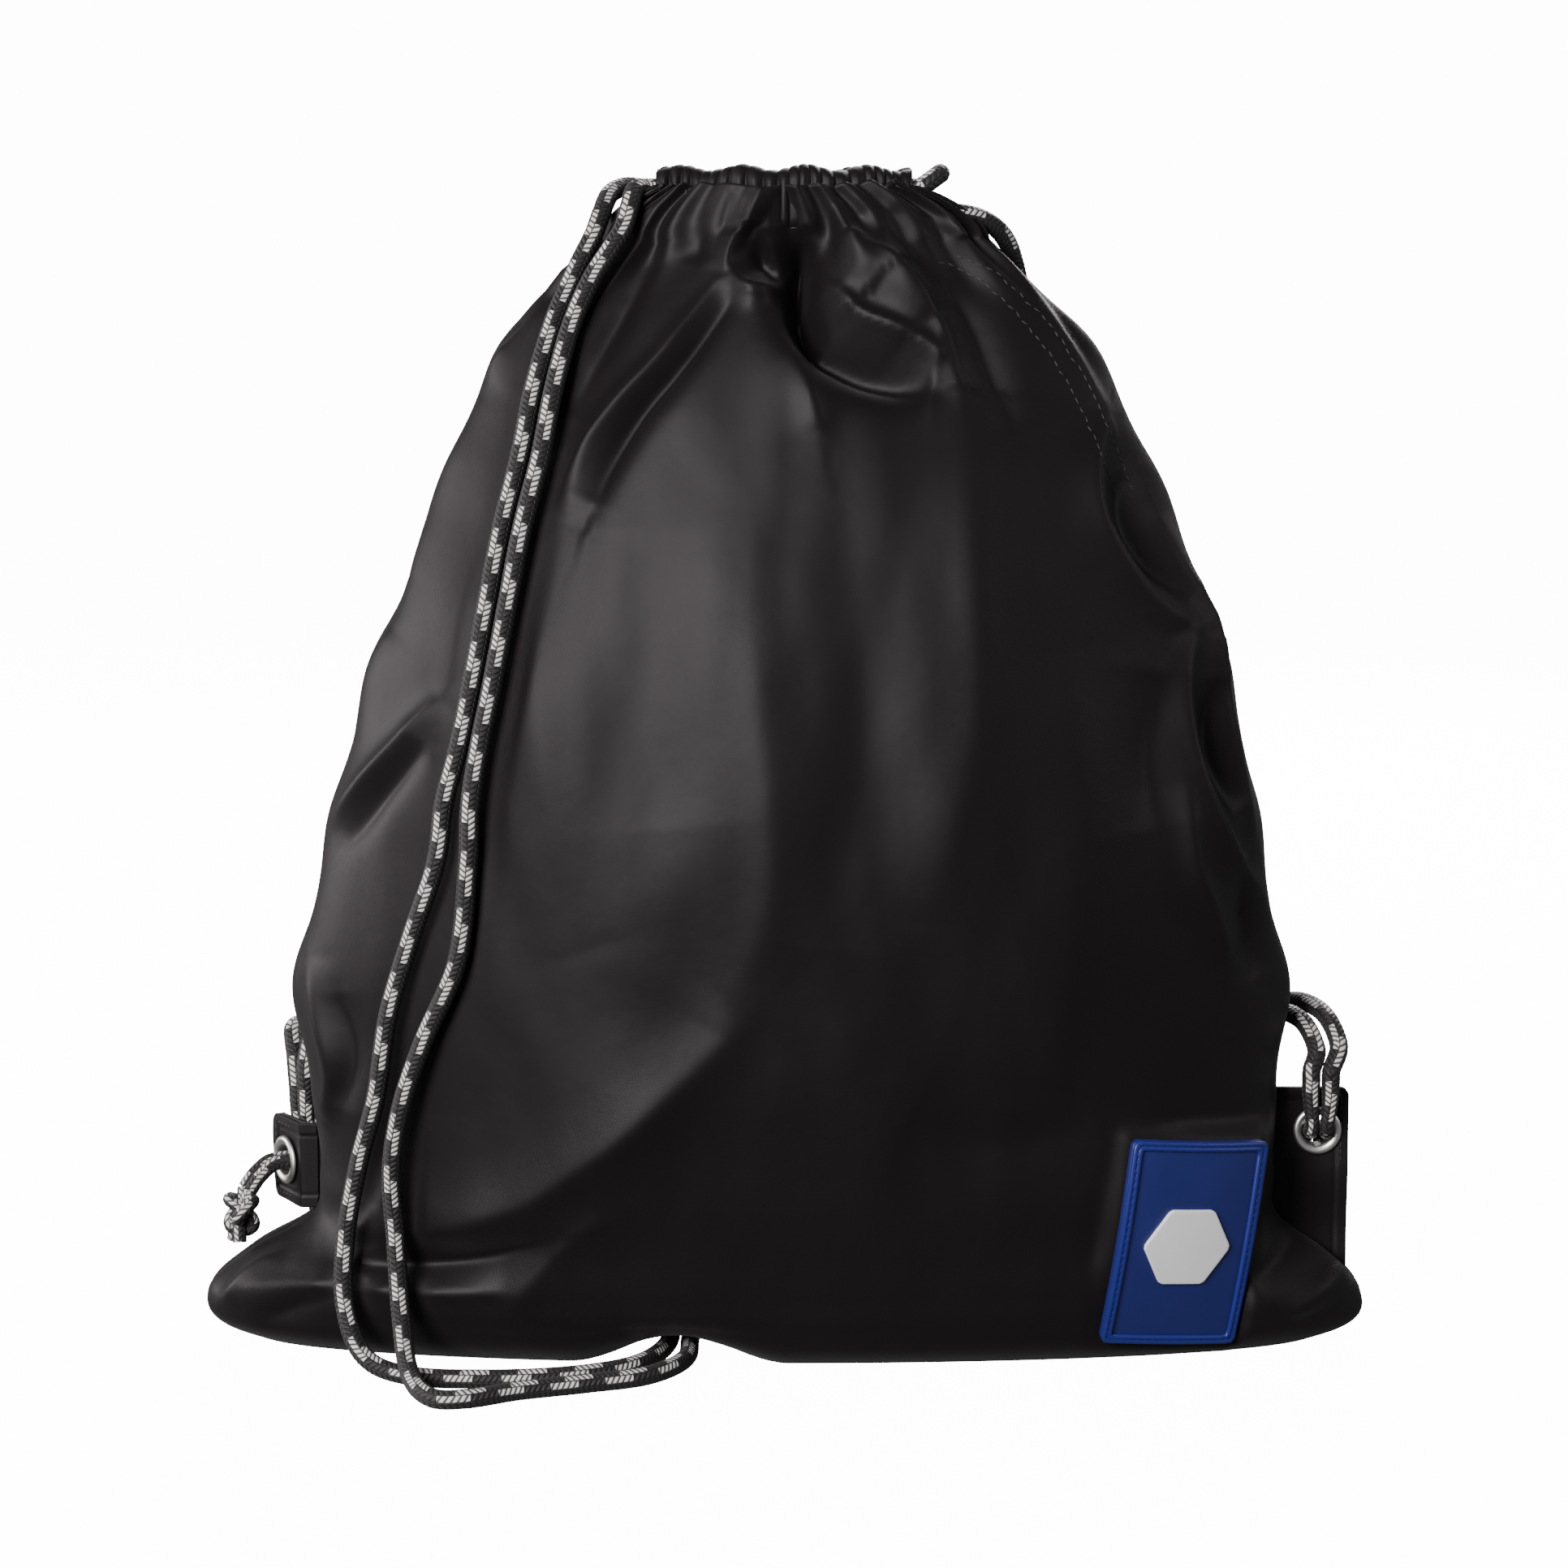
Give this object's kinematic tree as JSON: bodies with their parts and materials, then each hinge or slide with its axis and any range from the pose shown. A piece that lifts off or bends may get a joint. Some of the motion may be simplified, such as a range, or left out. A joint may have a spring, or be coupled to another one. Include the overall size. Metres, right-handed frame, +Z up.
{
  "type": "drawstring backpack",
  "caption": "Stuffed cloth drawstring backpack with a gathered mouth, cords that run on as shoulder straps to eyelet tabs at the sides, and a moulded rubber patch.",
  "frame": {"origin": "on the floor under the middle of the bag, the loose cords left out", "axes": "+Z up, the front with the patch faces -Y, +X to the viewer's right"},
  "size_m": [0.4075, 0.2158, 0.4075],
  "materials": {
    "black_twill": "black nylon twill with a soft sheen",
    "seam_tape": "folded seam allowance, matt black",
    "braid": "black braided cord with short white flecks",
    "nickel": "pressed and plated, lightly rubbed",
    "navy_rubber": "moulded, satin",
    "blue_rubber": "moulded, satin",
    "white_rubber": "moulded, satin"
  },
  "bodies": {
    "bag": {"front_panel": "black_twill", "back_panel": "black_twill", "left_side_seam": "seam_tape", "right_side_seam": "seam_tape", "base_seam": "seam_tape", "patch_base": "navy_rubber", "patch_rim": "blue_rubber", "patch_emblem": "white_rubber", "left_cord_turn": "braid", "right_cord_turn": "braid", "left_strand_a_lower": "braid", "left_strand_b_lower": "braid", "right_strand_a_lower": "braid", "right_strand_b_lower": "braid"},
    "front_lip": {"front_channel": "black_twill", "left_cord_front_run": "braid", "right_cord_front_run": "braid"},
    "back_lip": {"back_channel": "black_twill", "left_cord_back_run": "braid", "right_cord_back_run": "braid"},
    "left_strap": {"left_strand_a_upper": "braid", "left_strand_b_upper": "braid"},
    "right_strap": {"right_strand_a_upper": "braid", "right_strand_b_upper": "braid"},
    "left_tab": {"eyelet_tab_left": "black_twill", "eyelet_left": "nickel", "eyelet_washer_left": "nickel", "left_tail_a": "braid", "left_tail_b": "braid", "left_knot": "braid"},
    "right_tab": {"eyelet_tab_right": "black_twill", "eyelet_right": "nickel", "eyelet_washer_right": "nickel", "right_tail_a": "braid", "right_tail_b": "braid", "right_knot": "braid"}
  },
  "joints": [
    {"name": "front_lip_open", "type": "hinge", "parent": "bag", "child": "front_lip", "pos_m": [0, -0.0265, 0.384], "axis": [1, 0, 0], "range_deg": [0, 15]},
    {"name": "back_lip_open", "type": "hinge", "parent": "bag", "child": "back_lip", "pos_m": [0, 0.0265, 0.384], "axis": [1, 0, 0], "range_deg": [-15, 0]},
    {"name": "left_strap_lift", "type": "hinge", "parent": "bag", "child": "left_strap", "pos_m": [-0.045, 0.003, 0.3993], "axis": [-1, 0, 0], "range_deg": [0, 20]},
    {"name": "right_strap_lift", "type": "hinge", "parent": "bag", "child": "right_strap", "pos_m": [0.045, 0.002, 0.391], "axis": [1, 0, 0], "range_deg": [0, 15]},
    {"name": "left_tab_fold", "type": "hinge", "parent": "bag", "child": "left_tab", "pos_m": [-0.1685, 0, 0.061], "axis": [0, 0, 1], "range_deg": [0, 40]},
    {"name": "right_tab_fold", "type": "hinge", "parent": "bag", "child": "right_tab", "pos_m": [0.1755, 0, 0.074], "axis": [0, 0, 1], "range_deg": [-10, 30]}
  ],
  "couplings": [
    {"joint": "back_lip_open", "follows": "front_lip_open", "ratio": -1}
  ]
}
